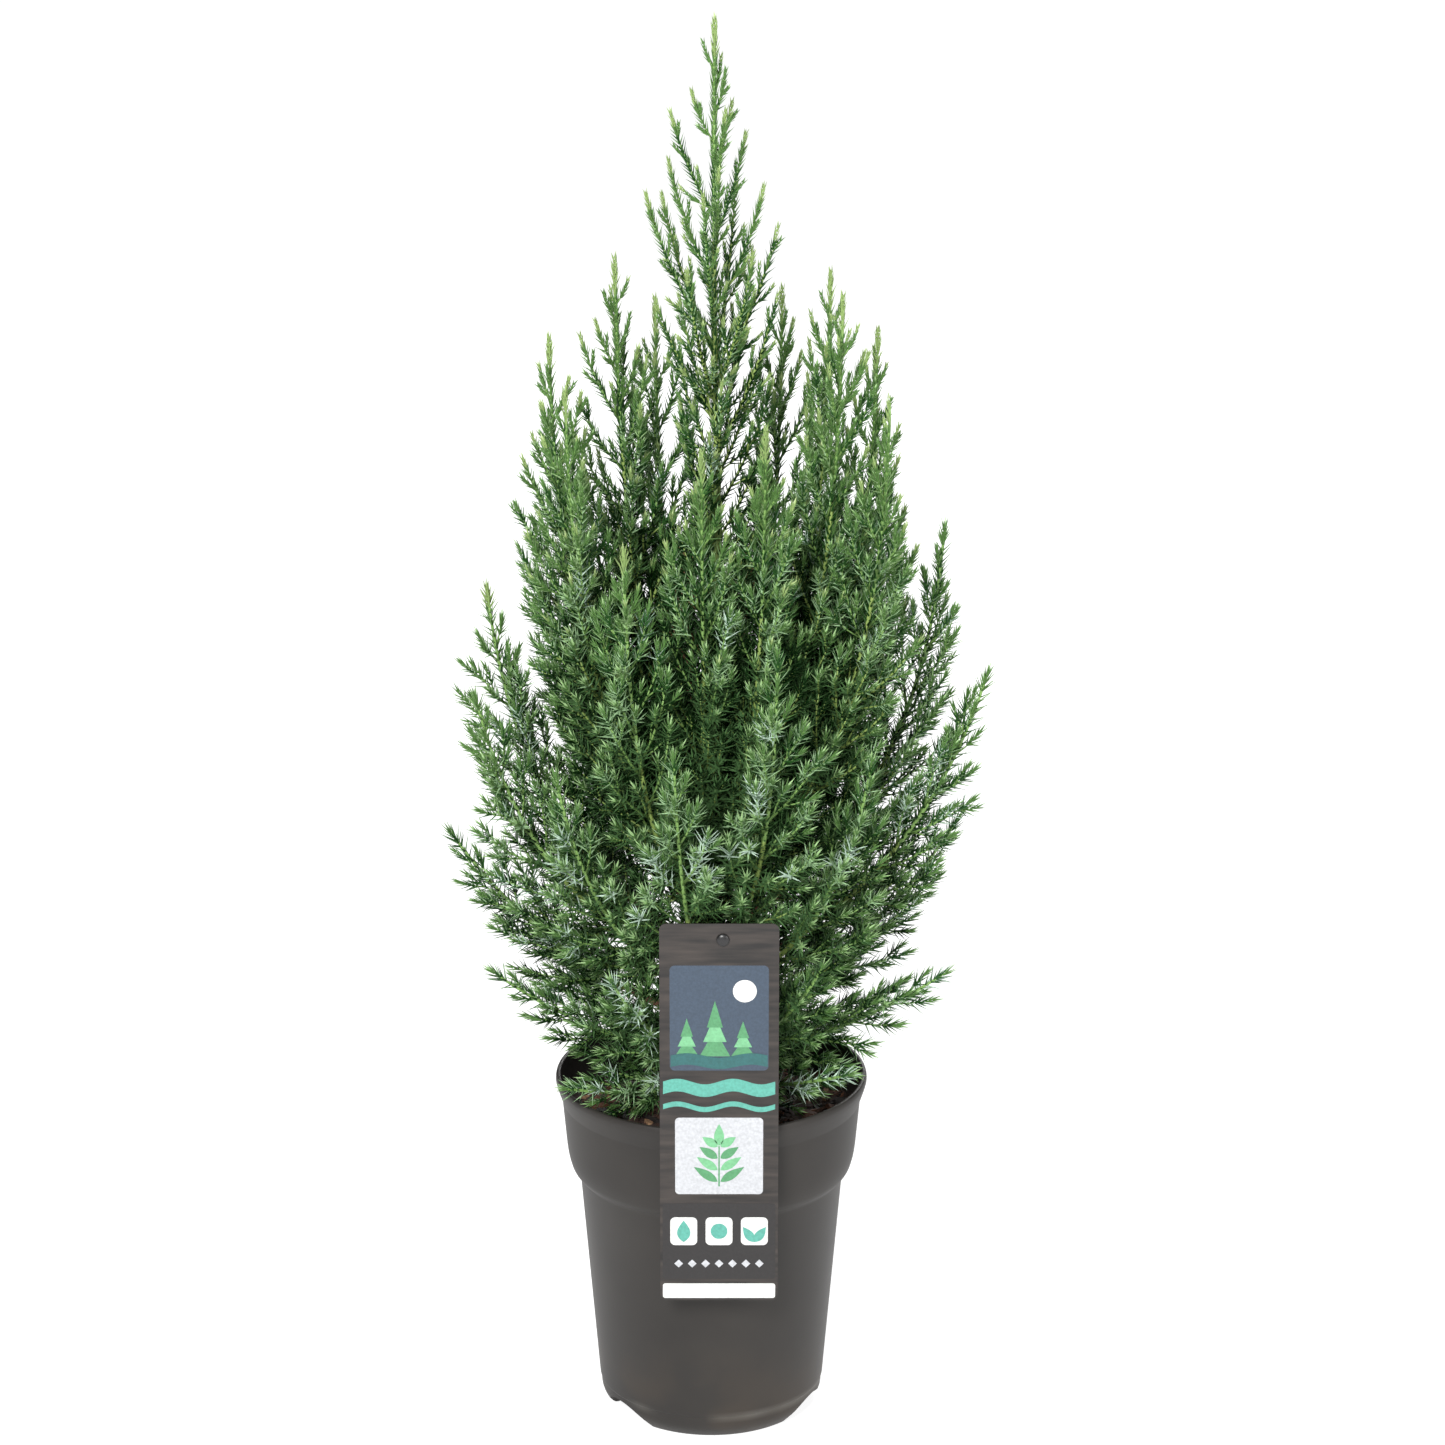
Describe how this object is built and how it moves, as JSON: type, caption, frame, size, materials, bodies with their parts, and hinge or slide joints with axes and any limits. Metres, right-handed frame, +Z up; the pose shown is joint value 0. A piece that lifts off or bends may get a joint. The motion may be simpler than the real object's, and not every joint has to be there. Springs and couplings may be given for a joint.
{
  "type": "potted juniper",
  "caption": "Young upright juniper with many plumes of awl-shaped needles, in a round plastic nursery pot with a hanging plant label on a stake.",
  "frame": {"origin": "centre of the pot's flat underside, on the pot's axis", "axes": "+Z up along the pot's axis, -Y towards the side that the label hangs on, +X to the right of someone who looks at the label"},
  "size_m": [0.3237, 0.2738, 0.863],
  "materials": {
    "pot_plastic": "satin dark grey",
    "soil": "rough dark bark chips",
    "bark": "rough, fibrous reddish brown",
    "needles": "matt blue-green",
    "label_film": "smooth printed film",
    "stake_plastic": "black"
  },
  "bodies": {
    "root": {"pot": "pot_plastic", "soil": "soil", "label_stake": "stake_plastic", "label": "label_film", "trunk": "bark", "bough_right_front_high": "bark", "bough_front_left_mid": "bark", "bough_front_right_mid": "bark", "bough_front_left_low": "bark", "bough_left_front_low": "bark", "bough_front_right_low": "bark", "bough_right_upper_arm": "bark", "bough_right_wide_arm": "bark", "bough_right_low_arm": "bark", "bough_left_upper_arm": "bark", "bough_left_wide_arm": "bark", "bough_left_low_arm": "bark", "bough_back_right_mid": "bark", "bough_back_mid": "bark", "bough_back_left_mid": "bark", "bough_back_right_low": "bark", "bough_back_left_low": "bark", "needles_crown_top": "needles", "needles_left_high": "needles", "needles_left_front_high": "needles", "needles_left_inner": "needles", "needles_right_inner_back": "needles", "needles_right_inner_front": "needles", "needles_right_high": "needles", "needles_right_front_high": "needles", "needles_front_high": "needles", "needles_front_right_high": "needles", "needles_front_left_mid": "needles", "needles_front_right_mid": "needles", "needles_front_left_low": "needles", "needles_left_front_low": "needles", "needles_front_right_low": "needles", "needles_right_upper_arm": "needles", "needles_right_wide_arm": "needles", "needles_right_low_arm": "needles", "needles_right_lowest_arm": "needles", "needles_left_upper_arm": "needles", "needles_left_wide_arm": "needles", "needles_left_low_arm": "needles", "needles_left_lowest_arm": "needles", "needles_front_left_lowest": "needles", "needles_front_right_lowest": "needles", "needles_left_rim_frond": "needles", "needles_right_rim_frond": "needles", "needles_back_right_high": "needles", "needles_back_left_high": "needles", "needles_back_right_mid": "needles", "needles_back_mid": "needles", "needles_back_left_mid": "needles", "needles_back_right_low": "needles", "needles_back_left_low": "needles", "needles_back_lowest": "needles", "needles_back_right_lowest": "needles", "needles_back_left_lowest": "needles"}
  },
  "joints": []
}
